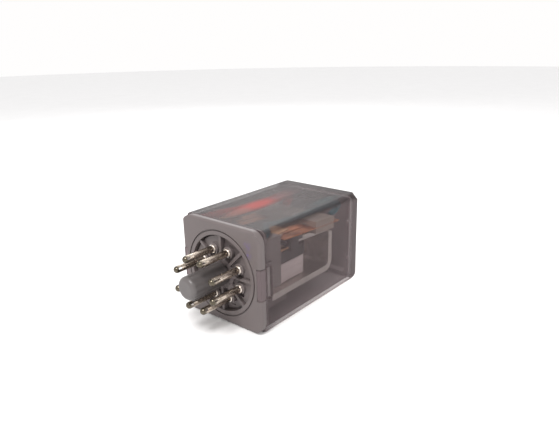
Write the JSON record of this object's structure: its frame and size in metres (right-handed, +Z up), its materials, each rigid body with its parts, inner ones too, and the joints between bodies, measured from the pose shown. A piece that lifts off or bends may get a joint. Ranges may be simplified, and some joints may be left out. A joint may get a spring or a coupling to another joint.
{
  "type": "plug-in relay",
  "caption": "Plug-in relay with a round base of pins around a key post, and a clear smoky cover over a hinged-armature magnet and changeover contacts.",
  "frame": {"origin": "on the key post's axis, in the seating face of the base", "axes": "+X from the plug face to the cap end, so the pins point along -X; +Z up as the relay lies on one flat side of its case; +Y to the far side"},
  "size_m": [0.0735, 0.0356, 0.0356],
  "materials": {
    "base_plastic": "fine moulded, satin",
    "post_plastic": "moulded, satin",
    "smoky_cover": "smoky grey polycarbonate, slightly frosted",
    "carrier_plastic": "moulded",
    "plated_steel": "zinc plated sheet",
    "pole_iron": "ground",
    "zinc_hardware": "bright zinc",
    "black_plastic": "moulded",
    "enamelled_copper": "enamelled copper wire",
    "coil_tape": "woven wrap",
    "tinned_brass": "tinned",
    "spring_wire": "drawn wire",
    "tan_plastic": "laminate",
    "plated_pin": "nickel plated brass",
    "copper_spring": "rolled copper alloy",
    "contact_silver": "silver alloy",
    "brass_strip": "rolled brass",
    "red_sleeve": "silicone sleeve",
    "teal_sleeve": "silicone sleeve"
  },
  "bodies": {
    "housing": {"base": "base_plastic", "key_post": "post_plastic", "pin_1": "plated_pin", "pin_2": "plated_pin", "pin_3": "plated_pin", "pin_4": "plated_pin", "pin_5": "plated_pin", "pin_6": "plated_pin", "pin_7": "plated_pin", "pin_8": "plated_pin", "cover": "smoky_cover", "contact_carrier": "carrier_plastic", "yoke": "plated_steel", "core": "pole_iron", "yoke_screws": "zinc_hardware", "bobbin": "black_plastic", "coil_winding": "enamelled_copper", "coil_tape": "coil_tape", "coil_terminal_1": "tinned_brass", "coil_terminal_2": "tinned_brass", "coil_lead_1": "enamelled_copper", "coil_lead_2": "enamelled_copper", "armature_retainer": "zinc_hardware", "return_spring": "spring_wire", "make_strip_1": "brass_strip", "make_strip_2": "brass_strip", "make_contact_1": "contact_silver", "make_contact_2": "contact_silver", "break_strip_1": "brass_strip", "break_strip_2": "brass_strip", "break_contact_1": "contact_silver", "break_contact_2": "contact_silver", "common_strip_1": "brass_strip", "common_strip_2": "brass_strip", "red_lead": "red_sleeve", "teal_lead": "teal_sleeve"},
    "armature_group": {"armature": "plated_steel", "actuator_bar": "black_plastic", "spring_block": "tan_plastic", "spring_clamp": "tan_plastic", "clamp_rivets": "zinc_hardware", "moving_spring_1": "copper_spring", "moving_spring_2": "copper_spring", "moving_contact_1": "contact_silver", "moving_contact_2": "contact_silver"}
  },
  "joints": [
    {"name": "armature_hinge", "type": "hinge", "parent": "housing", "child": "armature_group", "pos_m": [0.0458, 0, 0.004], "axis": [0, -1, 0], "range_deg": [0, 3.4], "stiffness_Nm_per_rad": 0.02, "springref_deg": -14.32, "deforming": ["return_spring"]}
  ]
}
